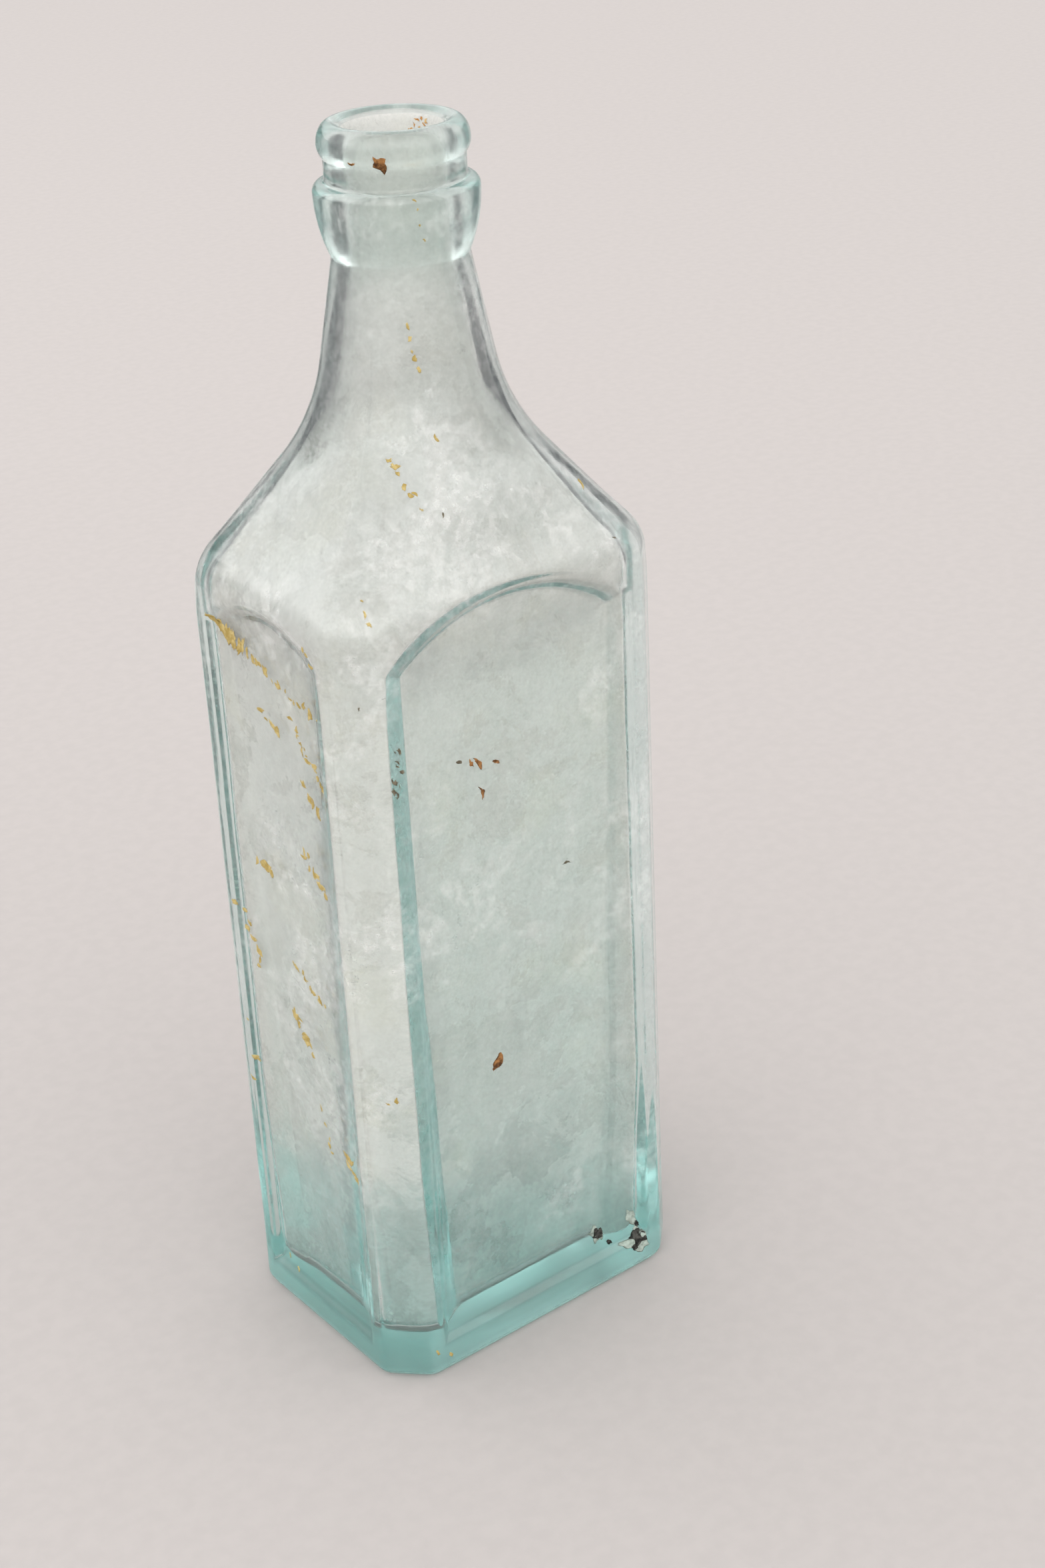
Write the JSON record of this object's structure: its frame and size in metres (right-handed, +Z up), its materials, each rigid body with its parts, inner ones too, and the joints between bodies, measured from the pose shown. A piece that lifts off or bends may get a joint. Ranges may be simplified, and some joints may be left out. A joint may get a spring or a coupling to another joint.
{
  "type": "medicine bottle",
  "caption": "Empty rectangular glass medicine bottle with chamfered corners, sunken arched side panels, sloping shoulder, flared neck and a tooled lip for a cork.",
  "frame": {"origin": "centre of the base, on the surface the bottle stands on", "axes": "+Z up along the bottle to its mouth, +X across the broad sides, +Y across the narrow sides, from the front broad side to the back one"},
  "size_m": [0.0724, 0.055, 0.235],
  "materials": {
    "body_glass": "pale aqua glass, hazed inside",
    "finish_glass": "pale aqua glass, polished"
  },
  "bodies": {
    "root": {"body": "body_glass", "finish": "finish_glass"}
  },
  "joints": []
}
